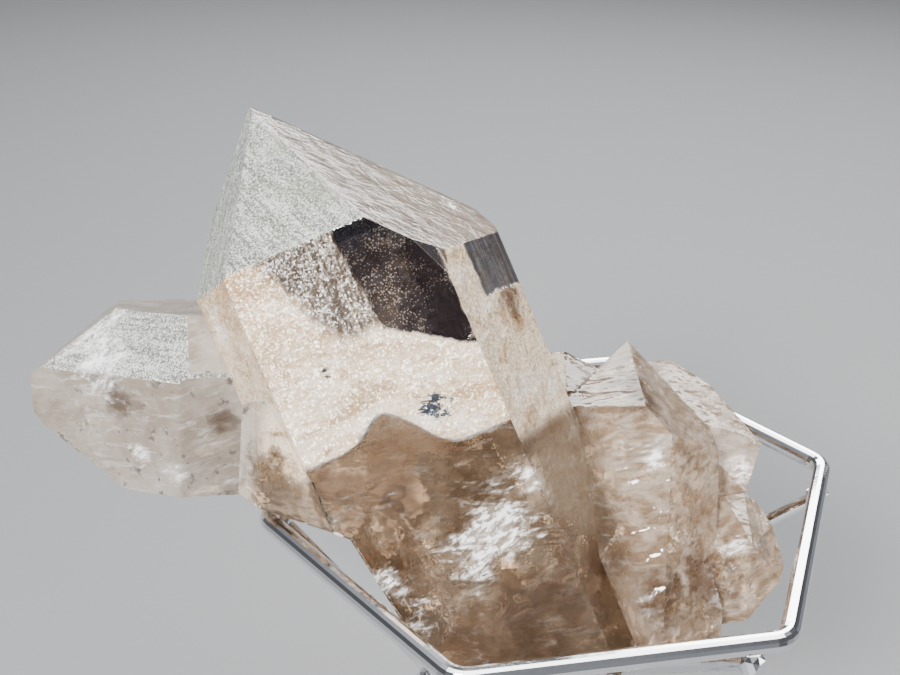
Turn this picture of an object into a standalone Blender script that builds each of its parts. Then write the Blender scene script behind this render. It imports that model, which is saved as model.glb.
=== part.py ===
"""Smoky quartz cluster lying in a hexagonal wire display stand.

The stand is a hexagon of round plated wire, six straight struts that twist inwards and out
again like an hourglass, and a second hexagon on the table. The cluster is one stone: a large
pointed crystal, a shorter one at its left and a group of broken crystals at its right.
Lengths below are millimetres, measured from the middle of the upper hexagon; the whole model is
moved by STAND_PLACE so that it stands on z = 0 and is centred over the origin.
"""
import bpy
import bmesh
from math import cos, pi, radians, sin, sqrt
from mathutils import Matrix, Vector

MM = 0.001

# Wire stand
RING_SIDE = 62.0            # side of either hexagon, to the middle of the wire
RING_TURN = 9.6             # degrees the hexagons are turned about the vertical
RING_WIRE = 4.0             # diameter of the hexagon wire
RING_BEND = 5.0             # inside radius of a bent corner, to the middle of the wire
STRUT_WIRE = 3.0            # diameter of the six struts
STRUT_FROM_CORNER = 6.5     # a strut is welded this far along a side from its corner
RING_SPACING = 107.0        # height between the two hexagons
WELD_SIZE = 2.7             # radius of a weld bead
GAP = 0.3                   # clearance left between touching pieces
WIRE_SIDES = 6              # bevel resolution of the hexagon wire

# Where the middle of the upper hexagon stands
STAND_PLACE = (0.02869, 0.00012, 0.10896)

# Quartz: angle between the long axis and the normal of a tip face
TIP_FACE = radians(51.79)

# Large crystal. The axis points to its tip; the first prism face looks at the viewer and the
# others follow at 60 degrees. Distances run from the tip to each face plane. A small facet is
# given by its angle around the axis, its lean away from the axis and its distance.
MAIN_TIP = (-65.8, 38.8, 72.9)
MAIN_AXIS = (-0.3935, 0.4014, 0.8271)
MAIN_FRONT = (-0.0232, -0.9037, 0.4275)
MAIN_PRISM = (26.0, 35.6, 33.0, 35.3, 18.2, 26.4)
MAIN_POINT = (0.0, 0.0, 2.2, 7.5, 3.2, -0.2)
MAIN_SMALL = ((90, 90.0, 39.0), (35, 76.0, 23.1), (270, 90.0, 25.6), (150, 90.0, 39.0))

# Left crystal, pointing left
LEFT_TIP = (-115.0, 22.1, 19.0)
LEFT_AXIS = (-0.9728, -0.2172, 0.0803)
LEFT_TOP = (0.0049, 0.3271, 0.9450)
LEFT_PRISM = (13.3, 25.3, 24.0, 29.6, 19.0, 15.7)
LEFT_POINT = (-0.2, 0.0, 0.3, 12.4, 12.6, 3.0)
LEFT_SMALL = ((30, 52.0, 0.4), (90, 90.0, 28.2))

# Crystal at the right, leaning away from the viewer
RIGHT_TIP = (19.0, 33.6, 19.5)
RIGHT_AXIS = (0.1062, 0.7385, 0.6658)
RIGHT_FRONT = (-0.3874, -0.5860, 0.7117)
RIGHT_PRISM = (17.5, 22.6, 17.6, 15.0, 18.0, 23.0)
RIGHT_POINT = (0.0, 0.0, 0.0, 2.0, 1.0, 0.0)

# Where the stone meets the wire of the rim at its left, and one strut at its right
ROD_SEAT = (-59.34, -10.89, 1.47)
ROD_SIDE = (-62.62, -9.69, 1.62)
STRUT_SEAT = (29.9, -30.2, -19.15)
STRUT_SEAT_OUT = (0.113, -0.666, -0.737)

# Shell-shaped fractures: centre and radius of each
SCOOPS = (((-18.0, 2.0, -37.0), 20.0), ((18.0, -14.0, -35.0), 17.0), ((-47.0, -8.0, -19.0), 22.5),
          ((44.0, 34.0, 20.0), 12.0), ((52.0, 2.0, -18.0), 11.0))

OBJECT_NAME = "smoky_quartz_cluster"


def clear_scene():
    for old in list(bpy.data.objects):
        bpy.data.objects.remove(old, do_unlink=True)


def make_collection(name):
    group = bpy.data.collections.new(name)
    bpy.context.scene.collection.children.link(group)
    return group


def principled(name, colour, roughness, metallic=0.0, transmission=0.0, ior=1.45):
    material = bpy.data.materials.new(name)
    material.use_nodes = True
    shader = material.node_tree.nodes["Principled BSDF"]
    shader.inputs["Base Color"].default_value = (*colour, 1.0)
    shader.inputs["Roughness"].default_value = roughness
    shader.inputs["Metallic"].default_value = metallic
    shader.inputs["Transmission Weight"].default_value = transmission
    shader.inputs["IOR"].default_value = ior
    return material


def add_mesh(name, bm, group, material=None):
    """Turn a bmesh in stand millimetres into an object in metres."""
    bmesh.ops.transform(bm, matrix=Matrix.Translation(STAND_PLACE) @ Matrix.Scale(MM, 4),
                        verts=bm.verts)
    bmesh.ops.recalc_face_normals(bm, faces=bm.faces)
    mesh = bpy.data.meshes.new(name)
    bm.to_mesh(mesh)
    bm.free()
    obj = bpy.data.objects.new(name, mesh)
    group.objects.link(obj)
    if material:
        mesh.materials.append(material)
    return obj


def trim(bm, point, outward):
    """Cut off everything beyond a plane and close the cut."""
    everything = bm.verts[:] + bm.edges[:] + bm.faces[:]
    cut = bmesh.ops.bisect_plane(bm, geom=everything, plane_co=Vector(point), dist=1e-4,
                                 plane_no=Vector(outward).normalized(), clear_outer=True)
    edges = [e for e in cut["geom_cut"] if isinstance(e, bmesh.types.BMEdge)]
    if len(edges) > 2:
        bmesh.ops.edgeloop_fill(bm, edges=edges)


def crystal(tip, axis, front, prism, point, cuts=(), small=(), turn=1):
    """A block cut by six prism planes, six tip planes, small facets and its broken end."""
    tip = Vector(tip)
    up = Vector(axis).normalized()
    first = (Vector(front) - up * Vector(front).dot(up)).normalized()
    second = up.cross(first) * turn
    bm = bmesh.new()
    bmesh.ops.create_cube(bm, size=320.0, matrix=Matrix.Translation(tip))
    for k in range(6):
        out = first * cos(radians(60 * k)) + second * sin(radians(60 * k))
        slope = out * sin(TIP_FACE) + up * cos(TIP_FACE)
        trim(bm, tip + out * prism[k], out)
        trim(bm, tip + slope * point[k], slope)
    for around, lean, distance in small:
        out = first * cos(radians(around)) + second * sin(radians(around))
        slope = out * sin(radians(lean)) + up * cos(radians(lean))
        trim(bm, tip + slope * distance, slope)
    for place, outward in cuts:
        trim(bm, place, outward)
    return bm


def wedge(first_point, first_out, second_point, second_out):
    """The block beyond two planes, which cuts a re-entrant broken hollow."""
    bm = bmesh.new()
    bmesh.ops.create_cube(bm, size=150.0, matrix=Matrix.Translation(first_point))
    trim(bm, first_point, -Vector(first_out))
    trim(bm, second_point, -Vector(second_out))
    return bm


def hull(corners):
    """A convex lump over its corner points."""
    bm = bmesh.new()
    for corner in corners:
        bm.verts.new(corner)
    bmesh.ops.convex_hull(bm, input=bm.verts[:])
    loose = [v for v in bm.verts if not v.link_faces]
    bmesh.ops.delete(bm, geom=loose, context="VERTS")
    return bm


def combine(obj, other, operation):
    """Join or cut with an exact Boolean; the other shape becomes a hidden guide."""
    step = obj.modifiers.new(operation.title() + " " + other.name, "BOOLEAN")
    step.operation = operation
    step.solver = "EXACT"
    step.object = other
    other.hide_render = True
    other.display_type = "WIRE"


def corner_angle(index):
    return radians(180 + RING_TURN + 60 * index)


def ring_corner(index, height=0.0):
    return Vector((RING_SIDE * cos(corner_angle(index)), RING_SIDE * sin(corner_angle(index)), height))


def ring_path(height, steps=4):
    """Points along the hexagon, with a short arc at each bent corner."""
    points = []
    back = RING_BEND / cos(radians(30))
    for index in range(6):
        middle = ring_corner(index) * (1.0 - back / RING_SIDE)
        for step in range(steps + 1):
            a = corner_angle(index) + radians(-30 + 60 * step / steps)
            points.append(middle + Vector((cos(a), sin(a), 0)) * RING_BEND + Vector((0, 0, height)))
    return points


def wire_mesh(points, diameter, closed, resolution):
    """A round wire along a path, as a bmesh in millimetres."""
    curve = bpy.data.curves.new("wire", "CURVE")
    curve.dimensions = "3D"
    curve.bevel_depth = diameter / 2
    curve.bevel_resolution = resolution
    curve.use_fill_caps = not closed
    spline = curve.splines.new("POLY")
    spline.points.add(len(points) - 1)
    for target, place in zip(spline.points, points):
        target.co = (*place, 1.0)
        target.tilt = pi / (4 + 2 * resolution)
    spline.use_cyclic_u = closed
    holder = bpy.data.objects.new("wire", curve)
    bpy.context.scene.collection.objects.link(holder)
    mesh = bpy.data.meshes.new_from_object(holder.evaluated_get(bpy.context.evaluated_depsgraph_get()))
    bm = bmesh.new()
    bm.from_mesh(mesh)
    bmesh.ops.remove_doubles(bm, verts=bm.verts, dist=1e-3)
    bpy.data.objects.remove(holder, do_unlink=True)
    bpy.data.meshes.remove(mesh)
    bpy.data.curves.remove(curve)
    return bm


def strut_ends(index):
    """Centres of a strut's two ends, under one side of the rim and over one of the foot."""
    reach = RING_WIRE / 2 + STRUT_WIRE / 2 + 0.7
    corner, before = ring_corner(index), ring_corner(index - 1)
    top = corner + (before - corner).normalized() * STRUT_FROM_CORNER
    corner, after = ring_corner(index + 2), ring_corner(index + 3)
    foot = corner + (after - corner).normalized() * STRUT_FROM_CORNER
    top.z = -reach
    foot.z = reach - RING_SPACING
    return top, foot


def weld_bead(place, size, seed):
    """A lumpy bead of weld metal."""
    bm = bmesh.new()
    bmesh.ops.create_icosphere(bm, subdivisions=2, radius=size)
    for vert in bm.verts:
        wave = sin(1.9 * vert.co.x + seed) * cos(1.6 * vert.co.y - seed) + sin(1.3 * vert.co.z + 2 * seed)
        vert.co *= 1.0 + 0.07 * wave
    bmesh.ops.translate(bm, verts=bm.verts, vec=place)
    return bm


def side_cylinder(start, end, diameter):
    """A plain bar between two points, used as a cutter round the hexagon wire."""
    bm = bmesh.new()
    along = end - start
    bmesh.ops.create_cone(bm, cap_ends=True, segments=24, radius1=diameter / 2, radius2=diameter / 2,
                          depth=along.length)
    spin = along.to_track_quat("Z", "Y").to_matrix().to_4x4()
    bmesh.ops.transform(bm, matrix=Matrix.Translation((start + end) / 2) @ spin, verts=bm.verts)
    return bm


def build_stand(parts, guides):
    chrome = principled("plated_wire", (0.80, 0.81, 0.82), 0.08, metallic=1.0)
    add_mesh("rim_ring", wire_mesh(ring_path(0.0), RING_WIRE, True, WIRE_SIDES), parts, chrome)
    add_mesh("foot_ring", wire_mesh(ring_path(-RING_SPACING), RING_WIRE, True, WIRE_SIDES), parts, chrome)
    for index in range(6):
        top, foot = strut_ends(index)
        strut = add_mesh("strut_%d" % (index + 1), side_cylinder(top, foot, STRUT_WIRE), parts, chrome)
        for name, place, level in (("top", top, 0.0), ("foot", foot, -RING_SPACING)):
            bead = add_mesh("bead_%s_%d" % (name, index + 1), weld_bead(place, WELD_SIZE, index + level),
                            guides)
            combine(strut, bead, "UNION")
            step = -1 if name == "top" else 3
            near = ring_corner(index if name == "top" else index + 2, level)
            far = ring_corner(index + step, level)
            reach = (far - near).normalized()
            relief = add_mesh("relief_%s_%d" % (name, index + 1),
                              side_cylinder(near - reach * 4, near + reach * 24, RING_WIRE + 2 * GAP), guides)
            combine(strut, relief, "DIFFERENCE")


def build_cluster(parts, guides):
    quartz = principled("smoky_quartz", (0.72, 0.64, 0.56), 0.12, transmission=0.85, ior=1.544)
    main_cuts = ((ROD_SEAT, (-0.72, 0.27, -0.64)), ((-4.6, -34.0, -20.0), (0.02, -0.05, -1.0)),
                 ((-14.0, 6.0, -19.0), (-0.25, 0.40, -0.88)), ((12.0, -6.0, -20.0), (0.42, 0.18, -0.89)))
    stone = add_mesh("quartz_cluster",
                     crystal(MAIN_TIP, MAIN_AXIS, MAIN_FRONT, MAIN_PRISM, MAIN_POINT, main_cuts, MAIN_SMALL),
                     parts, quartz)
    hollow = wedge((-60.3, -20.0, 9.5), (-0.30, -0.12, -0.95), (-41.6, -23.6, 3.1), (-0.80, 0.08, -0.60))
    combine(stone, add_mesh("broken_hollow", hollow, guides), "DIFFERENCE")
    left = crystal(LEFT_TIP, LEFT_AXIS, LEFT_TOP, LEFT_PRISM, LEFT_POINT,
                   ((ROD_SIDE, (0.66, -0.245, -0.71)), ((-44, 10, 20), (1, 0.2, 0.1))), LEFT_SMALL, -1)
    combine(stone, add_mesh("left_crystal", left, guides), "UNION")
    foot = hull([(-65.4, -2.7, 23.3), (-66.4, -10.2, 6.6), (-61.7, -12.5, 4.2), (-54.0, -16.6, 5.1),
                 (-44.3, -21.2, 3.8), (-52.4, -16.0, 16.1), (-59.2, -7.0, 27.0), (-42.0, -19.1, 11.0),
                 (-64, 2, 12), (-60, 6, 8), (-48, 8, 6), (-50, 4, 26)])
    combine(stone, add_mesh("left_foot", foot, guides), "UNION")
    right = crystal(RIGHT_TIP, RIGHT_AXIS, RIGHT_FRONT, RIGHT_PRISM, RIGHT_POINT,
                    (((15, -10, -20.5), (0.05, -0.2, -1)),
                     ((5.2, -7.6, 1.5), (-0.65, 0.20, -0.73))))
    combine(stone, add_mesh("right_crystal", right, guides), "UNION")
    back = hull([(24.4, 39.4, 11.0), (30.8, 38.5, 11.5), (38.8, 30.6, 9.2), (43.8, 19.1, 6.7),
                 (46.4, 8.9, 6.5), (43.8, 4.1, 3.8), (41.5, -0.9, 0.7), (36.4, 8.1, 4.7),
                 (26, 18, 10), (20, 40, 2), (31, 38, 0), (43, 17, -5), (40, 4, -8), (20, 10, -12)])
    combine(stone, add_mesh("back_crystal", back, guides), "UNION")
    low = hull([(36.5, -3.1, 0.8), (40.8, -1.9, 0.9), (43.5, -3.7, -0.5), (45.6, -9.2, -2.5),
                (46.7, -17.0, -6.6), (45.7, -19.3, -8.9), (38.7, -23.1, -16.3), (33.3, -22.7, -17.6),
                (38.7, -20.0, 0.7), (35.7, -19.8, -3.3), (30, -8, -5), (28, 4, -6), (42, -2, -9),
                (28, -2, -15)])
    combine(stone, add_mesh("low_crystal", low, guides), "UNION")
    seat = hull([(16, -10, -8), (32, -10, -8), (18, -27, -13), (33, -25, -12), (18, -27, -24),
                 (33, -27, -24), (20, -8, -28), (32, -10, -28)])
    trim(seat, STRUT_SEAT, STRUT_SEAT_OUT)
    combine(stone, add_mesh("seat_lump", seat, guides), "UNION")
    splinter = hull([(-2, 38, 13), (2.2, 41.2, 12.4), (5.8, 43.0, 11.5), (8.3, 40.1, 10.3),
                     (13.6, 37.4, 9.5), (8, 26, 10), (-8, 26, 12), (-2, 20, -6), (14, 22, -4), (0, 40, 2)])
    combine(stone, add_mesh("back_splinter", splinter, guides), "UNION")
    for number, (place, radius) in enumerate(SCOOPS):
        scoop = bmesh.new()
        bmesh.ops.create_icosphere(scoop, subdivisions=3, radius=radius, matrix=Matrix.Translation(place))
        combine(stone, add_mesh("scoop_%d" % (number + 1), scoop, guides), "DIFFERENCE")
    return stone


def main():
    clear_scene()
    parts = make_collection(OBJECT_NAME)
    guides = make_collection("guides")
    build_stand(parts, guides)
    build_cluster(parts, guides)
    guides.hide_render = True


main()
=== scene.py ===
"""Looks of the smoky quartz cluster in its plated wire stand.

The wire stand keeps its CAD meshes and gets a plated finish. The stone is shown by one piece with a
finer mesh: worn edges, ripples on the broken parts, and a ledge where the frosted front ends. Thin
sheets inside it are its white fractures. Places and lengths of the stone are millimetres measured from
the middle of the upper hexagon, as in the CAD source. Texture scales are per metre.
"""
import math
from types import SimpleNamespace

import bmesh
import bpy
import numpy as np
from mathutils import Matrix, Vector, noise
from mathutils.bvhtree import BVHTree


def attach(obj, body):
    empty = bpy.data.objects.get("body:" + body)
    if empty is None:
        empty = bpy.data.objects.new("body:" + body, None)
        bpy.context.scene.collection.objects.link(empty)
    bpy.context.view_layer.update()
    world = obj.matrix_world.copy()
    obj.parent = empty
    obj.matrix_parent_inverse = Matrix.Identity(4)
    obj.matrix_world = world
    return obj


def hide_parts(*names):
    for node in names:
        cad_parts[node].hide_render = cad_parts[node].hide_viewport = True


# Middle of the upper hexagon in the frame, in metres
STAND_PLACE = Vector((0.02869, 0.00012, 0.10896))
MM = 0.001

# Camera: its place, the angle in degrees that it looks down, and its lens
CAMERA_PLACE = Vector((-22.5, -223.9, 153.0))
CAMERA_DOWN = 27.27
CAMERA_LENS = 49.6
SENSOR_WIDTH = 36.0

# Angle between a crystal's long axis and the normal of a tip face
TIP_FACE = math.radians(51.79)

# The three crystals whose faces are told apart: tip, long axis, normal of the first prism face, and
# which way round the other faces follow it
MAIN = dict(tip=(-65.8, 38.8, 72.9), axis=(-0.3935, 0.4014, 0.8271), front=(-0.0232, -0.9037, 0.4275),
            turn=1)
LEFT = dict(tip=(-115.0, 22.1, 19.0), axis=(-0.9728, -0.2172, 0.0803), front=(0.0049, 0.3271, 0.9450),
            turn=-1)
RIGHT = dict(tip=(19.0, 33.6, 19.5), axis=(0.1062, 0.7385, 0.6658), front=(-0.3874, -0.5860, 0.7117),
             turn=1)

# Their faces: crystal, degrees around its axis, kind (or tilt in degrees) and distance from the tip.
# A face's zone is its number in this list, from 1. Zone 0 is everything else.
FACES = (
    (MAIN, 0, "prism", 26.0), (MAIN, 60, "prism", 35.6), (MAIN, 120, "prism", 33.0),
    (MAIN, 180, "prism", 35.3), (MAIN, 240, "prism", 18.2), (MAIN, 300, "prism", 26.4),
    (MAIN, 0, "tip", 0.0), (MAIN, 60, "tip", 0.0), (MAIN, 120, "tip", 2.2),
    (MAIN, 180, "tip", 7.5), (MAIN, 240, "tip", 3.2), (MAIN, 300, "tip", -0.2),
    (LEFT, 0, "prism", 13.3), (LEFT, 60, "prism", 25.3), (LEFT, 120, "prism", 24.0),
    (LEFT, 0, "tip", -0.2), (LEFT, 60, "tip", 0.0), (LEFT, 120, "tip", 0.3),
    (LEFT, 180, "tip", 12.4), (LEFT, 240, "tip", 12.6), (LEFT, 300, "tip", 3.0),
    (RIGHT, 0, "prism", 17.5), (RIGHT, 60, "prism", 22.6), (RIGHT, 300, "prism", 23.0),
    (RIGHT, 0, "tip", 0.0), (RIGHT, 60, "tip", 0.0), (RIGHT, 300, "tip", 0.0),
    (MAIN, 35, 76.0, 23.1),
)
MAIN_FRONT, MAIN_RIGHT, MAIN_LEFT, MAIN_CORNER = 1, 2, 6, 28
MAIN_TIPS = (7, 8, 9, 10, 11, 12)
MAIN_ZONES = tuple(range(1, 13)) + (MAIN_CORNER,)
SECOND_TIP = 8
LEFT_UPPER, RIGHT_SIDE = 17, 23
ZONE_SLACK = 0.6            # how far off its plane a face may lie
ZONE_FACING = 0.985         # least cosine between its normal and the plane's

# Fine mesh of the stone
WELD = 0.02                 # vertices closer than this are one
FLAT_ANGLE = math.radians(0.6)
KEEN_ANGLE = math.radians(16)
SHARP_ANGLE = math.radians(12)
KEEN_LENGTH = 1.2           # shortest edge that is worn
CELL = 1.3                  # spacing of the mesh
EDGE_WEAR = 0.28            # width of the worn edges between faces
FRACTURE = 0.45             # depth of the ripples on broken surfaces
BREAK_CENTRE = Vector((-0.012, 0.004, 0.075))   # middle of the ripples, in the frame, in metres
LEDGE = 0.7                 # step down from the frosted front to the broken base
LEDGE_WIDTH = 0.6
LEDGE_CELL = 0.5            # spacing of the mesh along that step
LEDGE_MARGIN = 2.2          # how far the finer mesh reaches from it
BASE_RIPPLE = 0.35          # depth of the ripples on the broken base
BASE_RISE = 6.0             # distance from the ledge at which they have their full depth

# Borders on the large crystal, across its front and down from its tip. A slanting one is a place on it
# and its slope.
WINDOW_LEFT = (7.3, 33.0, 0.125)
WINDOW_LOW = (10.2, 55.3, 0.64)
WINDOW_LOW_SHARE = 0.85     # distance from that border per distance above it
WINDOW_RIGHT = 26.3
PANE_LOW = 57.5
PANE_RIGHT = 0.5
HAZE_LEFT = (-9.5, 33.0, 0.45)
HAZE_LOW = 55.0
SMOKY_FROM = 84.0           # where the faces beside the front turn smoky
# Band of painted light across the front and the right face: its middle and reach, down from the tip
PAINTED_GLOW_MIDDLE, PAINTED_GLOW_REACH = 64.0, 30.0
OUTSIDE = -9.0              # stands for far outside a part

# Places where the stone is marked, each with its radius: white fractures, brown smoke, dark pits
VEIL_PLACES = (
    ((-13.0, -23.0, 7.0), 9.0), ((-18.5, -25.0, 0.5), 8.0), ((-6.5, -18.5, 15.5), 5.0),
    ((-28.5, -30.0, -10.0), 6.0), ((-34.5, -27.5, -4.5), 6.5), ((20.0, -6.0, 12.0), 3.0),
    ((36.0, -17.0, -1.5), 5.0), ((41.0, 3.5, 3.0), 6.0), ((-92.5, 12.5, 1.5), 4.0),
    ((-84.0, 8.5, -1.5), 4.5), ((-99.0, 17.0, 24.0), 12.0), ((-71.5, 7.0, 38.0), 6.0),
    ((-62.0, 27.0, 67.5), 5.0), ((-22.0, 28.0, 55.0), 2.6),
)
SMOKE_PLACES = (
    ((-10.0, 11.5, 40.5), 5.0), ((-8.5, -30.5, -10.0), 11.0), ((-0.5, -29.0, -6.0), 8.0),
    ((-95.0, 12.0, 16.0), 6.0), ((18.5, 6.5, 19.0), 5.0), ((8.5, -18.5, -4.5), 6.0),
    ((17.0, 14.0, 19.0), 6.0), ((-58.0, -12.0, 11.0), 9.0), ((19.5, -28.5, -6.5), 8.0),
    ((29.0, -20.0, -8.0), 8.0), ((-42.0, -19.5, 11.0), 8.0), ((-34.0, -19.5, 12.0), 8.5),
    ((-46.0, -18.5, 11.0), 8.0), ((-61.0, -12.0, 14.0), 5.0), ((-72.0, 8.0, 14.0), 5.0),
)
PIT_PLACES = (((-25.0, -12.0, 28.5), 3.6), ((-41.0, 0.0, 53.0), 1.6), ((-47.0, -8.5, 35.0), 1.6))
RIGHT_SIDE_SMOKE = -0.05    # a little smoke all over that face

# Fracture sheets inside the stone: centre, outward normal, half width and half height
VEILS = (
    ((-12.5, -19.5, 5.0), (-0.30, -0.75, 0.60), 10.0, 8.0),
    ((-18.5, -21.5, -1.0), (0.25, -0.85, 0.45), 9.0, 6.0),
    ((-6.5, -15.0, 13.5), (0.45, -0.75, 0.45), 5.0, 7.0),
    ((-26.0, -20.0, 4.0), (-0.50, -0.70, 0.50), 6.0, 5.0),
    ((-3.0, -22.0, -4.0), (0.10, -0.60, 0.80), 8.0, 5.0),
    ((-14.0, -26.0, -9.0), (-0.10, -0.75, 0.65), 10.0, 3.5),
    ((-38.0, 2.0, 20.0), (-0.30, -0.85, 0.40), 8.0, 7.0),
    ((21.0, -4.5, 10.5), (-0.20, -0.80, 0.55), 6.0, 5.0),
    ((20.5, -26.0, -9.0), (-0.30, -0.70, 0.60), 6.0, 6.0),
    ((28.0, -13.5, -3.5), (0.30, -0.80, 0.50), 5.0, 7.0),
    ((36.5, -16.5, -2.0), (-0.60, -0.45, 0.60), 4.5, 4.5),
    ((41.0, 4.5, 1.5), (-0.10, -0.60, 0.75), 7.0, 6.0),
    ((-91.0, 15.0, 1.5), (0.25, -0.80, 0.50), 8.0, 7.0),
    ((-82.5, 11.5, -1.0), (-0.35, -0.75, 0.50), 7.0, 6.0),
)
VEIL_STEPS = 26             # cells along each side of a sheet
VEIL_BULGE = 2.6            # how far a sheet bends out of its plane
VEIL_MARGIN = 0.8           # least distance from a sheet to the stone's surface

# Optical values of the stone
QUARTZ_IOR = 1.544
SMOKE_COLOUR = (0.60, 0.47, 0.36, 1.0)
SMOKE_DENSITY = 13.0

# Directions along which the stone's textures are drawn out
SLANT = (0.93, -0.20, 0.28)
FIBRES = (0.62, -0.30, 0.72)

# Dark and light colour of each part of the stone
FRONT = ((0.50, 0.34, 0.22, 1), (0.84, 0.65, 0.47, 1))
HAZY = ((0.03, 0.025, 0.022, 1), (0.36, 0.30, 0.25, 1))
BROWN = ((0.21, 0.132, 0.075, 1), (0.52, 0.385, 0.265, 1))
PALE = ((0.42, 0.31, 0.22, 1), (0.90, 0.78, 0.66, 1))
GREYISH = ((0.46, 0.38, 0.30, 1), (0.74, 0.66, 0.57, 1))
FROST = ((0.16, 0.168, 0.148, 1), (0.86, 0.88, 0.84, 1))
BEIGE = ((0.22, 0.18, 0.145, 1), (0.95, 0.92, 0.88, 1))
WINDOW = ((0.02, 0.021, 0.03, 1), (0.145, 0.14, 0.145, 1))
PANE = ((0.07, 0.085, 0.12, 1), (0.25, 0.28, 0.33, 1))
VEIL = ((0.80, 0.78, 0.76, 1), (1.0, 0.99, 0.98, 1))
PLATING = ((0.80, 0.81, 0.83, 1), (0.88, 0.88, 0.89, 1))

# Studio, in metres and watts. The sky's brightness goes from the horizon (0) to straight up (1).
SKY_LEVELS = ((0.0, 0.32), (0.16, 0.28), (0.34, 0.12), (0.62, 0.12), (0.90, 0.85))
SKY_COLOUR = (0.90, 0.93, 1.0, 1.0)
FLOOR_COLOUR = (0.20, 0.203, 0.208, 1.0)
FLOOR_HALF = 12.0
LIGHT_TARGET = Vector((0.0, 0.0, 0.12))
LIGHTS = (
    ("key", (-0.45, -0.80, 0.80), (0.32, 0.32), 40.0),
    ("top", (0.10, 0.15, 1.10), (0.9, 0.6), 9.0),
    ("back", (0.25, 0.80, 0.65), (1.0, 0.35), 12.0),
    ("fill", (0.9, -0.6, 0.5), (0.5, 0.5), 4.0),
)


# Crystal directions


def unit(v):
    v = np.array(v, float)
    return v / np.linalg.norm(v)


def crystal_axes(crystal):
    """Long axis, first prism normal and the direction beside it."""
    up = unit(crystal["axis"])
    front = np.array(crystal["front"], float)
    front = unit(front - up * front.dot(up))
    return up, front, np.cross(up, front) * crystal["turn"]


def face_normal(crystal, around, kind):
    """Outward normal of a face that lies a number of degrees around the crystal's axis."""
    up, front, side = crystal_axes(crystal)
    out = front * math.cos(math.radians(around)) + side * math.sin(math.radians(around))
    tilt = {"prism": math.pi / 2, "tip": TIP_FACE}.get(kind) or math.radians(kind)
    return out * math.sin(tilt) + up * math.cos(tilt)


def face_directions(crystal, around, kind):
    """Two directions in a face: along its streaks and across them."""
    out = face_normal(crystal, around, kind)
    up = crystal_axes(crystal)[0]
    along = np.cross(out, face_normal(crystal, around + 60, kind)) if kind == "tip" else up
    along = unit(along)
    return along, np.cross(out, along)


def from_stand(places):
    """Places in the frame as millimetres from the middle of the upper hexagon."""
    return (np.array(places) - np.array(STAND_PLACE)) / MM


def on_main(at):
    """How far places lie across the large crystal's front and down from its tip."""
    up, _, side = crystal_axes(MAIN)
    reach = at - np.array(MAIN["tip"])
    return reach @ side, -reach @ up


def wavy_edge(across):
    """Distance below the tip at which the frosted front gives way to the smoky base."""
    arch = 4.6 * np.exp(-((across - 2.5) / 5.0) ** 2)
    drop = 6.5 / (1 + np.exp(-(across - 10.5) / 1.6))
    return 74.5 - arch + drop


def below_ledge(place):
    """How far a place in the frame lies below the wavy edge."""
    across, down = on_main(from_stand(place))
    return down - wavy_edge(across)


# Shader helper


class Shader:
    """A node tree with short calls for the nodes that the materials use."""

    def __init__(self, name):
        self.material = bpy.data.materials.new(name)
        self.material.use_nodes = True
        self.tree = self.material.node_tree
        self.principled = self.tree.nodes["Principled BSDF"]
        self.output = self.tree.nodes["Material Output"]
        self.place = self.tree.nodes.new("ShaderNodeTexCoord").outputs["Object"]

    def fill(self, inputs, values):
        """Links a socket to each input, or sets it to a plain value."""
        for key, value in values.items():
            if hasattr(value, "is_linked"):
                self.tree.links.new(value, inputs[key])
            else:
                inputs[key].default_value = value

    def node(self, kind, values, **settings):
        made = self.tree.nodes.new("ShaderNode" + kind)
        for key, value in settings.items():
            setattr(made, key, value)
        self.fill(made.inputs, values)
        return made

    def feed(self, **values):
        self.fill(self.principled.inputs, {name.replace("_", " "): v for name, v in values.items()})

    def maths(self, operation, a, b):
        return self.node("Math", {0: a, 1: b}, operation=operation).outputs[0]

    def times(self, a, b):
        return self.maths("MULTIPLY", a, b)

    def plus(self, a, b):
        return self.maths("ADD", a, b)

    def larger(self, a, b):
        return self.maths("MAXIMUM", a, b)

    def about(self, texture, size):
        """A texture as a swing around 0."""
        return self.times(self.maths("SUBTRACT", texture, 0.5), size)

    def vector(self, operation, values):
        return self.node("VectorMath", values, operation=operation).outputs[0]

    def attribute(self, name, output="Fac"):
        return self.node("Attribute", {}, attribute_name=name).outputs[output]

    def drawn_out(self, along, length, flat):
        """Coordinates that draw a texture out along a direction and press it flat across it."""
        turn = Vector(along).to_track_quat("X", "Z").to_euler()
        values = {"Vector": self.place, "Scale": (length, 1.0, flat), "Rotation": turn}
        return self.node("Mapping", values, vector_type="TEXTURE").outputs[0]

    def noise(self, scale, detail, rough, place=None, warp=0.0):
        values = {"Vector": place or self.place, "Scale": scale, "Detail": detail, "Roughness": rough,
                  "Distortion": warp}
        return self.node("TexNoise", values).outputs["Fac"]

    def ramp(self, value, low, high):
        """0 at low, 1 at high, smooth between them."""
        values = {"Value": value, "From Min": low, "From Max": high}
        return self.node("MapRange", values, interpolation_type="SMOOTHSTEP").outputs[0]

    def mix(self, share, a, b):
        """Mix of two colours."""
        return self.node("Mix", {0: share, 6: a, 7: b}, data_type="RGBA").outputs[2]

    def blend(self, share, a, b):
        """Mix of two numbers."""
        return self.node("Mix", {0: share, 2: a, 3: b}, data_type="FLOAT").outputs[0]

    def bump(self, height, strength, distance):
        values = {"Height": height, "Strength": strength, "Distance": distance}
        return self.node("Bump", values).outputs["Normal"]


# Mesh of the stone


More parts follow.
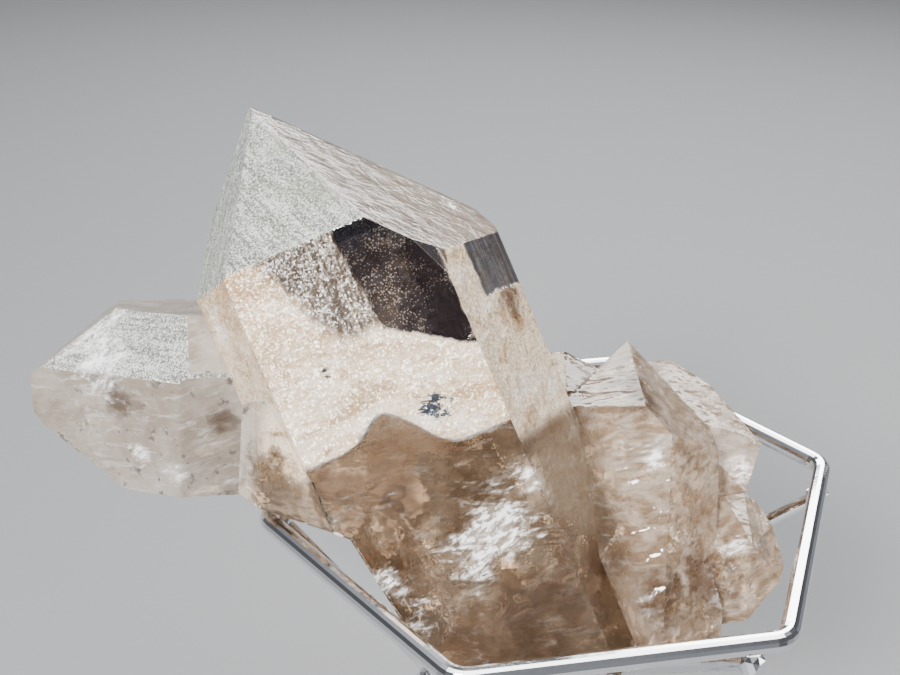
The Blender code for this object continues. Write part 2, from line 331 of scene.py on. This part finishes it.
def grid_cut(bm, spacing):
    """Cuts every face along three families of planes, so that the mesh is even and stays on its faces."""
    lo = np.min([v.co for v in bm.verts], axis=0)
    hi = np.max([v.co for v in bm.verts], axis=0)
    for axis in range(3):
        normal = Vector([float(i == axis) for i in range(3)])
        for at in np.arange(lo[axis] + spacing / 2, hi[axis], spacing):
            bmesh.ops.bisect_plane(bm, geom=bm.verts[:] + bm.edges[:] + bm.faces[:], dist=1e-7,
                                   plane_co=normal * at, plane_no=normal)


def fine_stone(node):
    """The stone's mesh with flat faces joined up, edges worn, and then cut into small cells."""
    bm = bmesh.new()
    bm.from_mesh(node.data)
    bmesh.ops.remove_doubles(bm, verts=bm.verts, dist=WELD * MM)
    bmesh.ops.dissolve_limit(bm, angle_limit=FLAT_ANGLE, verts=bm.verts, edges=bm.edges)
    keen = [e for e in bm.edges if e.is_manifold and e.calc_face_angle_signed() > KEEN_ANGLE
            and e.calc_length() > KEEN_LENGTH * MM]
    bmesh.ops.bevel(bm, geom=keen, offset=EDGE_WEAR * MM, segments=1, affect="EDGES", material=1,
                    clamp_overlap=True)
    grid_cut(bm, CELL * MM)
    bmesh.ops.triangulate(bm, faces=bm.faces)
    return bm


def zones_of(bm):
    """Zone of each face of the mesh, from its normal and place."""
    bm.normal_update()
    bm.faces.index_update()
    centres = from_stand([f.calc_center_median() for f in bm.faces])
    normals = np.array([f.normal for f in bm.faces])
    zones = np.zeros(len(centres), int)
    for zone, (crystal, around, kind, distance) in enumerate(FACES, 1):
        direction = face_normal(crystal, around, kind)
        off = (centres - np.array(crystal["tip"])) @ direction - distance
        zones[(normals @ direction > ZONE_FACING) & (np.abs(off) < ZONE_SLACK)] = zone
    return zones


def refine_ledge(bm, zones):
    """Cuts the mesh of the front face finer along its wavy edge."""
    bm.faces.ensure_lookup_table()
    near = {e for f, zone in zip(bm.faces, zones) if zone == MAIN_FRONT
            and abs(below_ledge(f.calc_center_median())) < LEDGE_MARGIN for e in f.edges}
    for _ in range(2):
        long_edges = [e for e in near if e.is_valid and e.calc_length() > LEDGE_CELL * MM]
        made = bmesh.ops.subdivide_edges(bm, edges=long_edges, cuts=1)
        bmesh.ops.triangulate(bm, faces=[f for f in bm.faces if len(f.verts) > 3])
        near = {g for g in made["geom"] if isinstance(g, bmesh.types.BMEdge)}


def ripple(bm, zones):
    """Presses shell-like ripples into the broken surfaces and leaves the crystal faces flat."""
    for vert in bm.verts:
        if any(zones[f.index] or f.material_index for f in vert.link_faces):
            continue
        place = vert.co * 1000.0
        shell = noise.noise(place * 0.07) * 6.0 + (vert.co - BREAK_CENTRE).length * 420.0
        depth = 0.5 + 0.5 * math.sin(shell) * 0.6 + noise.noise(place * 0.35) * 0.4
        vert.co -= vert.normal * (depth * FRACTURE * MM)


def lower_base(bm, zones):
    """Sinks the broken base of the front face below its frosted part, with a ragged ledge between."""
    front = crystal_axes(MAIN)[1]
    bm.faces.ensure_lookup_table()
    touched = {v for f, zone in zip(bm.faces, zones) if zone == MAIN_FRONT for v in f.verts}
    for vert in touched:
        reach = below_ledge(vert.co)
        ragged = reach + 0.5 * noise.noise(vert.co * 900.0)
        share = min(1.0, max(0.0, ragged / LEDGE_WIDTH))
        swell = noise.noise(vert.co * 90.0) + 0.5 * noise.noise(vert.co * 260.0)
        rise = min(1.0, max(0.0, reach / BASE_RISE))
        vert.co -= Vector(front) * (share * (LEDGE + BASE_RIPPLE * swell * rise) * MM)


def build_stone(node):
    bm = fine_stone(node)
    refine_ledge(bm, zones_of(bm))
    zones = zones_of(bm)
    # Bevelled edge faces, later painted near white: partly their wear, partly a painted highlight
    worn_and_highlit = np.array([float(f.material_index == 1) for f in bm.faces])
    ripple(bm, zones)
    lower_base(bm, zones)
    mesh = bpy.data.meshes.new("quartz_stone")
    bm.to_mesh(mesh)
    bm.free()

    corners = np.zeros(len(mesh.loops), int)
    mesh.loops.foreach_get("vertex_index", corners)
    places = np.zeros(len(mesh.vertices) * 3)
    mesh.vertices.foreach_get("co", places)
    face_of = np.repeat(np.arange(len(mesh.polygons)), [p.loop_total for p in mesh.polygons])
    paint_stone(mesh, from_stand(places.reshape(-1, 3))[corners], zones[face_of], worn_and_highlit[face_of])

    stone = bpy.data.objects.new("quartz_stone", mesh)
    bpy.context.scene.collection.objects.link(stone)
    mesh.shade_smooth()
    mesh.set_sharp_from_angle(angle=SHARP_ANGLE)
    mesh.materials.append(quartz_material())
    mesh.polygons.foreach_set("material_index", np.zeros(len(mesh.polygons), np.int32))
    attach(stone, "root")
    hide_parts("quartz_cluster")
    return stone


# Named values on the mesh of the stone, which its material reads


def near_places(at, places):
    """1 in the middle of the nearest marked place, 0 at its radius and less beyond."""
    share = np.full(len(at), OUTSIDE)
    for centre, radius in places:
        share = np.maximum(share, 1.0 - np.linalg.norm(at - np.array(centre), axis=1) / radius)
    return share


def right_of(across, down, border):
    """How far places lie right of a slanting border."""
    start_across, start_down, slope = border
    return across - start_across - (down - start_down) * slope


def above(across, down, border):
    """How far places lie above a slanting border."""
    start_across, start_down, slope = border
    return start_down + (across - start_across) * slope - down


def glassy_parts(at, zone):
    """Distance inside the clear window, the pane beside it and the hazy band left of it."""
    across, down = on_main(at)
    on_front = np.isin(zone, (MAIN_FRONT, MAIN_CORNER))
    window = np.minimum(right_of(across, down, WINDOW_LEFT),
                        above(across, down, WINDOW_LOW) * WINDOW_LOW_SHARE)
    window = np.minimum(window, WINDOW_RIGHT - across)
    right_out = face_normal(MAIN, 60, "prism")
    along = np.cross(crystal_axes(MAIN)[0], right_out)
    pane = np.minimum(PANE_LOW - down, (at - np.array(MAIN["tip"])) @ along - PANE_RIGHT)
    haze = np.minimum(right_of(across, down, HAZE_LEFT), HAZE_LOW - down)
    return dict(window=np.where(on_front, window, OUTSIDE),
                pane=np.where(zone == MAIN_RIGHT, pane, OUTSIDE),
                haze=np.where(on_front, haze, OUTSIDE))


def smoky_part(at, zone):
    """Above 0 where the stone is smoky: the broken base, the foot and the smaller crystals."""
    across, down = on_main(at)
    on_front = np.isin(zone, (MAIN_FRONT, MAIN_CORNER))
    smoky = np.where(on_front, down - wavy_edge(across), down - SMOKY_FROM)
    smoky = np.where(np.isin(zone, MAIN_TIPS), OUTSIDE, smoky)
    smoky = np.where(zone == MAIN_RIGHT, (down - SMOKY_FROM) * 0.2, smoky)
    foot = (at[:, 0] < -40.0) & ~on_front & (at[:, 2] < 30.0)
    smoky = np.where(foot | (zone == MAIN_LEFT), (13.0 - at[:, 2]) * 0.25, smoky)
    beside = ~np.isin(zone, MAIN_ZONES) & ((at[:, 0] > 5.0) | (at[:, 0] < -62.0))
    return np.where(beside, 5.0, smoky)


def stone_values(at, zone, worn_and_highlit):
    """Shares and distances in millimetres, by name."""
    across, down = on_main(at)
    of_main = np.isin(zone, MAIN_ZONES)
    left = np.clip((-62.0 - at[:, 0] + (at[:, 2] - 5.0) * 0.2) / 3.0, 0, 1)
    right = np.clip((at[:, 0] - 8.0 + (at[:, 2] - 5.0) * 0.35) / 6.0, 0, 1)
    of_tip = np.isin(zone, MAIN_TIPS) & (zone != SECOND_TIP)
    loose = (zone == 0) & (at[:, 2] > 25.0) & (at[:, 0] < -60.0)
    # Painted light: a lighter band across the middle of the front, stronger on the right face
    painted_glow = 1.0 - np.abs(down - PAINTED_GLOW_MIDDLE) / PAINTED_GLOW_REACH + (zone == MAIN_RIGHT) * 0.8
    # Band along the ledge where a highlight is painted
    ledge = 1.0 - np.abs(down - wavy_edge(across) - 0.3) / 0.8
    faint = np.where(zone == RIGHT_SIDE, RIGHT_SIDE_SMOKE, OUTSIDE)
    return dict(glassy_parts(at, zone), smoky=smoky_part(at, zone), worn_and_highlit=worn_and_highlit,
                left_part=np.where(of_main, 0.0, left),
                right_part=np.where(of_main, 0.0, right),
                second_tip=(zone == SECOND_TIP).astype(float),
                frosted=(of_tip | (zone == LEFT_UPPER) | loose).astype(float),
                painted_glow=np.clip(painted_glow, 0.0, 1.0),
                ledge=np.where(zone == MAIN_FRONT, ledge, OUTSIDE),
                veil=near_places(at, VEIL_PLACES),
                smoke=np.maximum(near_places(at, SMOKE_PLACES), faint),
                pits=near_places(at, PIT_PLACES))


def streak_places(at, zone):
    """Coordinates along and across the streaks of each face, different for every face."""
    streak = at * 0.35
    for index, (crystal, around, kind, _) in enumerate(FACES):
        hit = zone == index + 1
        along, beside = face_directions(crystal, around, kind)
        reach = at[hit] - np.array(crystal["tip"])
        streak[hit] = np.stack([reach @ along * 0.08, reach @ beside, np.full(hit.sum(), index * 7.0)],
                               axis=1)
    return streak


def paint_stone(mesh, at, zone, worn_and_highlit):
    """Puts the named values on the mesh corners."""
    for name, value in stone_values(at, zone, worn_and_highlit).items():
        layer = mesh.attributes.new(name, "FLOAT", "CORNER")
        layer.data.foreach_set("value", value.astype(np.float32))
    layer = mesh.attributes.new("streak", "FLOAT_VECTOR", "CORNER")
    layer.data.foreach_set("vector", streak_places(at, zone).astype(np.float32).ravel())


# Material of the stone


def stone_textures(s):
    """Grain, clouds and streaks at several sizes, which colour, gloss and relief share."""
    slanting = s.drawn_out(SLANT, 2.0, 0.55)
    fibres = s.drawn_out(FIBRES, 3.0, 0.7)
    grains = s.node("TexVoronoi", {"Vector": s.place, "Scale": 2100.0})
    return SimpleNamespace(
        grain=s.noise(2600.0, 1.0, 0.6),
        cloud=s.noise(48.0, 4.0, 0.62, warp=0.5),
        patch=s.noise(240.0, 3.0, 0.65),
        wisp=s.noise(80.0, 5.0, 0.72, place=slanting, warp=1.0),
        feather=s.noise(260.0, 4.0, 0.72, place=slanting, warp=0.8),
        swell=s.noise(170.0, 2.0, 0.6, place=slanting),
        streaks=s.noise(1.2, 5.0, 0.72, place=s.attribute("streak", "Vector"), warp=0.3),
        fibre=s.noise(560.0, 3.0, 0.7, place=fibres, warp=0.5),
        from_grain=grains.outputs["Distance"],
        grain_colour=grains.outputs["Color"],
    )


def stone_parts(s, t):
    """How far a place belongs to each part or mark of the stone, from 0 to 1, with ragged borders."""
    rag = s.about(t.patch, 2.6)
    feathery = s.about(t.feather, 4.0)
    torn = s.plus(s.about(t.wisp, 3.0), s.times(feathery, 0.4))

    def ragged(name, edge, low, high):
        return s.ramp(s.plus(s.attribute(name), edge), low, high)

    window = ragged("window", s.times(rag, 0.8), 0.0, 0.7)
    pane = ragged("pane", rag, 0.0, 0.9)
    veil = s.times(ragged("veil", torn, 0.1, 1.0), s.plus(0.25, s.ramp(t.fibre, 0.42, 0.60)))
    return SimpleNamespace(
        window=window,
        pane=pane,
        clear=s.larger(window, pane),
        haze=ragged("haze", s.times(rag, 2.0), -1.0, 3.0),
        smoky=s.ramp(s.attribute("smoky"), 0.0, 0.7),
        veil=s.maths("MINIMUM", veil, 1.0),
        smoke=ragged("smoke", s.times(rag, 0.8), -0.2, 0.7),
        pits=ragged("pits", feathery, 0.15, 0.45),
        # Painted highlight along the ledge
        painted_ledge_glint=ragged("ledge", s.times(rag, 1.4), 0.3, 0.8),
        frosted=s.attribute("frosted"),
        left=s.attribute("left_part"),
        right=s.attribute("right_part"),
        second=s.attribute("second_tip"),
        # Worn edges painted light: partly wear, partly painted highlight
        worn_and_highlit=s.attribute("worn_and_highlit"),
        # Share of painted light on the front
        painted_glow=s.attribute("painted_glow"),
    )


def front_colour(s, t, part):
    """Frosted front: warm beige with pits and pale grains, a painted band of light across its middle, and
    the hazy band left of the window.
    """
    front = s.mix(s.ramp(t.cloud, 0.38, 0.62), *FRONT)
    # Painted light: a pale warm band mixed across the middle of the front
    front = s.mix(s.times(part.painted_glow, 0.65), front, (1.0, 0.90, 0.75, 1))
    front = s.mix(s.ramp(t.wisp, 0.36, 0.50), (0.52, 0.40, 0.30, 1), front)
    front = s.mix(s.ramp(t.wisp, 0.56, 0.68), front, (1.0, 0.95, 0.88, 1))
    front = s.mix(s.times(s.ramp(t.patch, 0.54, 0.66), 0.45), front, (0.40, 0.28, 0.19, 1))
    drift = s.plus(s.times(t.wisp, 0.6), s.times(t.cloud, 0.3))
    front = s.mix(s.ramp(s.plus(t.grain, drift), 0.94, 1.08), front, (1.0, 0.94, 0.86, 1))
    hazy = s.mix(s.ramp(t.streaks, 0.46, 0.62), *HAZY)
    hazy = s.mix(s.ramp(s.plus(t.grain, t.streaks), 1.08, 1.20), hazy, (0.85, 0.78, 0.70, 1))
    return s.mix(s.times(part.haze, 0.9), front, hazy)


def brown_colour(s, t):
    """Smoky base."""
    brown = s.mix(s.ramp(t.cloud, 0.36, 0.64), *BROWN)
    brown = s.mix(s.ramp(t.feather, 0.54, 0.72), brown, (0.86, 0.74, 0.62, 1))
    return s.mix(s.times(s.ramp(t.wisp, 0.60, 0.72), 0.7), brown, (0.95, 0.92, 0.90, 1))


def pale_colour(s, t):
    """Crystals at the right."""
    pale = s.mix(s.ramp(t.feather, 0.40, 0.64), *PALE)
    pale = s.mix(s.times(s.ramp(t.cloud, 0.52, 0.66), 0.6), pale, (0.92, 0.86, 0.80, 1))
    return s.mix(s.times(s.ramp(t.wisp, 0.60, 0.68), 0.8), pale, (1.0, 0.97, 0.95, 1))


def greyish_colour(s, t):
    """Crystal at the left, with dark pits."""
    greyish = s.mix(s.ramp(t.cloud, 0.40, 0.62), *GREYISH)
    greyish = s.mix(s.times(s.ramp(t.feather, 0.52, 0.68), 0.7), greyish, (0.97, 0.93, 0.88, 1))
    return s.mix(s.ramp(t.patch, 0.60, 0.68), greyish, (0.22, 0.19, 0.16, 1))


def frost_colour(s, t):
    """Frosted tips: a grey with fine bright grains."""
    sparkle = s.plus(s.times(t.grain, 0.6), s.times(t.streaks, 0.4))
    frost = s.mix(s.ramp(sparkle, 0.43, 0.60), *FROST)
    return s.mix(s.times(s.ramp(t.cloud, 0.46, 0.66), 0.6), frost, (0.34, 0.34, 0.29, 1))


def beige_colour(s, t):
    """Streaked tip face beside the frosted one."""
    beige = s.mix(s.ramp(t.streaks, 0.42, 0.62), *BEIGE)
    beige = s.mix(s.times(s.ramp(t.cloud, 0.44, 0.60), 0.5), beige, (0.26, 0.21, 0.17, 1))
    return s.mix(s.times(s.ramp(t.fibre, 0.56, 0.66), 0.35), beige, (0.98, 0.96, 0.94, 1))


def window_colour(s, t):
    """Dark clear window with white specks."""
    dark = s.mix(s.ramp(t.cloud, 0.45, 0.70), *WINDOW)
    dot = s.ramp(s.plus(t.from_grain, s.times(t.patch, 0.8)), 0.74, 0.54)
    return s.mix(s.times(dot, s.ramp(t.cloud, 0.34, 0.56)), dark, (0.95, 0.93, 0.90, 1))


def stone_colour(s, t, part):
    colour = s.mix(part.smoky, front_colour(s, t, part), brown_colour(s, t))
    colour = s.mix(part.right, colour, pale_colour(s, t))
    colour = s.mix(part.left, colour, greyish_colour(s, t))
    colour = s.mix(part.frosted, colour, frost_colour(s, t))
    colour = s.mix(s.times(part.second, 0.9), colour, beige_colour(s, t))
    # Marks: smoke, pits, fractures and the clear places, with a painted highlight along the ledge and
    # worn edges painted white, partly wear and partly painted highlight
    colour = s.mix(s.times(part.smoke, 0.85), colour, (0.085, 0.045, 0.022, 1))
    colour = s.mix(part.pits, colour, (0.03, 0.035, 0.045, 1))
    # Painted highlight: near white along the ledge
    colour = s.mix(part.painted_ledge_glint, colour, (0.97, 0.95, 0.92, 1))
    colour = s.mix(part.veil, colour, VEIL[1])
    colour = s.mix(part.window, colour, window_colour(s, t))
    colour = s.mix(part.pane, colour, s.mix(s.ramp(t.streaks, 0.45, 0.62), *PANE))
    # Worn edges painted near white: partly wear, partly a painted highlight
    colour = s.mix(s.times(part.worn_and_highlit, 0.7), colour, (0.98, 0.97, 0.94, 1))
    saturation = s.blend(part.smoky, 1.55, s.blend(part.right, 1.05, 1.25))
    return s.node("HueSaturation", {"Saturation": saturation, "Color": colour}).outputs["Color"]


def stone_transmission(s, part):
    """Share of the light that goes through."""
    through = s.blend(part.smoky, 0.37, 0.90)
    through = s.blend(s.times(part.haze, 0.7), through, 0.8)
    through = s.blend(part.smoke, through, 0.80)
    through = s.blend(part.right, through, 0.78)
    through = s.blend(part.left, through, 0.60)
    through = s.blend(part.frosted, through, 0.40)
    through = s.blend(s.times(part.second, 0.8), through, 0.85)
    through = s.blend(part.veil, through, 0.20)
    return s.blend(part.clear, through, 0.9)


def stone_roughness(s, t, part):
    matt = s.blend(part.smoky, 0.30, 0.07)
    matt = s.blend(part.smoke, matt, 0.20)
    matt = s.blend(part.right, matt, s.blend(s.ramp(t.cloud, 0.42, 0.60), 0.08, 0.32))
    matt = s.blend(part.left, matt, 0.16)
    matt = s.blend(part.frosted, matt, 0.34)
    matt = s.blend(s.times(part.second, 0.8), matt, 0.12)
    matt = s.blend(part.veil, matt, 0.25)
    return s.blend(part.clear, matt, 0.03)


def stone_normal(s, t, part):
    """Orange peel on the front, ripples where broken, and a sparkle of tilted grains where etched."""
    swelling = s.blend(part.right, s.blend(part.smoky, 0.5, 0.8), 1.6)
    relief = s.plus(s.times(t.patch, s.blend(part.smoky, 1.2, 0.35)), s.times(t.swell, swelling))
    flat = s.larger(part.clear, s.times(part.second, 0.7))
    relief = s.times(relief, s.blend(flat, 1.0, 0.12))
    normal = s.bump(relief, 0.8, 0.0007)

    even = s.larger(s.larger(part.clear, part.smoky), s.larger(part.left, part.right))
    etched = s.blend(s.larger(even, part.second), 0.42, 0.0)
    etched = s.larger(etched, s.times(part.frosted, 0.6))
    tilt = s.vector("SUBTRACT", {0: t.grain_colour, 1: (0.5, 0.5, 0.5)})
    tilt = s.vector("SCALE", {0: tilt, "Scale": etched})
    return s.vector("NORMALIZE", {0: s.vector("ADD", {0: normal, 1: tilt})})


def quartz_material():
    s = Shader("smoky_quartz")
    t = stone_textures(s)
    part = stone_parts(s, t)
    s.feed(Base_Color=stone_colour(s, t, part), Transmission_Weight=stone_transmission(s, part),
           Roughness=stone_roughness(s, t, part), IOR=QUARTZ_IOR, Normal=stone_normal(s, t, part))
    absorb = s.node("VolumeAbsorption", {"Color": SMOKE_COLOUR, "Density": SMOKE_DENSITY})
    s.tree.links.new(absorb.outputs["Volume"], s.output.inputs["Volume"])
    return s.material


# Fracture sheets


def veil_material():
    s = Shader("fracture_veil")
    feather = s.noise(190.0, 5.0, 0.72, place=s.drawn_out(FIBRES, 2.2, 0.7), warp=1.0)
    rough = s.noise(700.0, 3.0, 0.6)
    seen = s.times(s.ramp(feather, 0.46, 0.60), s.attribute("body"))
    s.feed(Base_Color=s.mix(s.ramp(rough, 0.4, 0.6), *VEIL), Roughness=0.30, Alpha=seen,
           Normal=s.bump(rough, 0.6, 0.0005))
    return s.material


def well_inside(shell, place, margin):
    near, normal, _, distance = shell.find_nearest(place)
    return distance > margin and (place - near).dot(normal) < 0


def curved_sheet(number, centre, normal, wide, high):
    """A bent rectangle whose value "body" fades out towards its border."""
    out = Vector(normal).normalized()
    right = out.cross(Vector((0, 0, 1))).normalized()
    top = right.cross(out)
    bm = bmesh.new()
    body = []
    rows = []
    for i in range(VEIL_STEPS + 1):
        row = []
        for j in range(VEIL_STEPS + 1):
            u, v = 2.0 * i / VEIL_STEPS - 1.0, 2.0 * j / VEIL_STEPS - 1.0
            seed = Vector((u * 1.3, v * 1.3, number * 5.1))
            bulge = VEIL_BULGE * noise.noise(seed) + 0.7 * noise.noise(seed * 3.0)
            place = Vector(centre) + right * (u * wide) + top * (v * high) + out * bulge
            row.append(bm.verts.new(place * MM + STAND_PLACE))
            body.append(max(0.0, 1.0 - (u * u + v * v) * (1.0 + 0.5 * noise.noise(seed * 2.0))))
        rows.append(row)
    for i in range(VEIL_STEPS):
        for j in range(VEIL_STEPS):
            bm.faces.new((rows[i][j], rows[i + 1][j], rows[i + 1][j + 1], rows[i][j + 1]))
    layer = bm.verts.layers.float.new("body")
    for vert, share in zip(bm.verts, body):
        vert[layer] = min(1.0, share * 1.6)
    return bm


def build_veils(stone):
    """Thin curved sheets, each trimmed so that it stays inside the stone."""
    shell = BVHTree.FromObject(stone, bpy.context.evaluated_depsgraph_get())
    material = veil_material()
    for number, sheet in enumerate(VEILS):
        bm = curved_sheet(number, *sheet)
        outside = [v for v in bm.verts if not well_inside(shell, v.co, VEIL_MARGIN * MM)]
        bmesh.ops.delete(bm, geom=outside, context="VERTS")
        mesh = bpy.data.meshes.new("veil_%02d" % (number + 1))
        bm.to_mesh(mesh)
        bm.free()
        mesh.shade_smooth()
        mesh.materials.append(material)
        veil = bpy.data.objects.new(mesh.name, mesh)
        bpy.context.scene.collection.objects.link(veil)
        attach(veil, "root")


# Stand


def wire_material():
    s = Shader("bright_plating")
    smear = s.noise(60.0, 4.0, 0.6)
    fine = s.noise(900.0, 2.0, 0.5)
    s.feed(Base_Color=s.mix(s.ramp(smear, 0.3, 0.7), *PLATING), Metallic=1.0,
           Roughness=s.blend(s.ramp(smear, 0.35, 0.75), 0.05, 0.14),
           Normal=s.bump(s.plus(smear, s.times(fine, 0.15)), 0.15, 0.0003))
    return s.material


def dress_stand(nodes):
    plating = wire_material()
    for name, node in nodes.items():
        if name == "quartz_cluster":
            continue
        node.data.materials.clear()
        node.data.materials.append(plating)
        node.data.shade_smooth()
        node.data.set_sharp_from_angle(angle=math.radians(50))


# Studio


def build_floor():
    bm = bmesh.new()
    bmesh.ops.create_grid(bm, x_segments=2, y_segments=2, size=FLOOR_HALF)
    mesh = bpy.data.meshes.new("floor")
    bm.to_mesh(mesh)
    bm.free()
    floor = bpy.data.objects.new("floor", mesh)
    bpy.context.scene.collection.objects.link(floor)
    s = Shader("pale_floor")
    s.feed(Base_Color=FLOOR_COLOUR, Roughness=0.6)
    mesh.materials.append(s.material)


def build_sky():
    """A sky whose brightness depends on the height of the direction."""
    world = bpy.data.worlds.new("studio")
    bpy.context.scene.world = world
    world.use_nodes = True
    nodes, links = world.node_tree.nodes, world.node_tree.links
    background = nodes["Background"]
    background.inputs["Color"].default_value = SKY_COLOUR
    direction = nodes.new("ShaderNodeSeparateXYZ")
    links.new(nodes.new("ShaderNodeTexCoord").outputs["Generated"], direction.inputs[0])
    rise = nodes.new("ShaderNodeValToRGB")
    rise.color_ramp.interpolation = "EASE"
    stops = rise.color_ramp.elements
    for index, (at, level) in enumerate(SKY_LEVELS):
        stop = stops[index] if index < 2 else stops.new(at)
        stop.position = at
        stop.color = (level, level, level, 1.0)
    links.new(direction.outputs["Z"], rise.inputs["Fac"])
    links.new(rise.outputs["Color"], background.inputs["Strength"])


def build_lights():
    for name, place, size, power in LIGHTS:
        data = bpy.data.lights.new(name, "AREA")
        data.shape = "RECTANGLE"
        data.size, data.size_y = size
        data.energy = power
        light = bpy.data.objects.new(name, data)
        bpy.context.scene.collection.objects.link(light)
        light.location = place
        light.rotation_euler = (LIGHT_TARGET - Vector(place)).to_track_quat("-Z", "Y").to_euler()


def build_camera():
    data = bpy.data.cameras.new("camera")
    data.lens = CAMERA_LENS
    data.sensor_width = SENSOR_WIDTH
    data.clip_start = 0.01
    camera = bpy.data.objects.new("camera", data)
    bpy.context.scene.collection.objects.link(camera)
    camera.location = CAMERA_PLACE * MM + STAND_PLACE
    camera.rotation_euler = (math.radians(90.0 - CAMERA_DOWN), 0.0, 0.0)
    bpy.context.scene.camera = camera


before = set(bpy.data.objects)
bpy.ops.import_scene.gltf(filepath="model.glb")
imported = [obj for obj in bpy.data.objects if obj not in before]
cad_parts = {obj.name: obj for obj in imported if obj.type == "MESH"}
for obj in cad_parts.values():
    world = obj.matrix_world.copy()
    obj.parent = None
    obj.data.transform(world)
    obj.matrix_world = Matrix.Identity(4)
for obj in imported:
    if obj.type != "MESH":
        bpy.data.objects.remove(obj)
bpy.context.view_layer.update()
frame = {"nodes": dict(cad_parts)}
build_veils(build_stone(frame["nodes"]["quartz_cluster"]))
dress_stand(frame["nodes"])
build_floor()
build_sky()
build_lights()
build_camera()
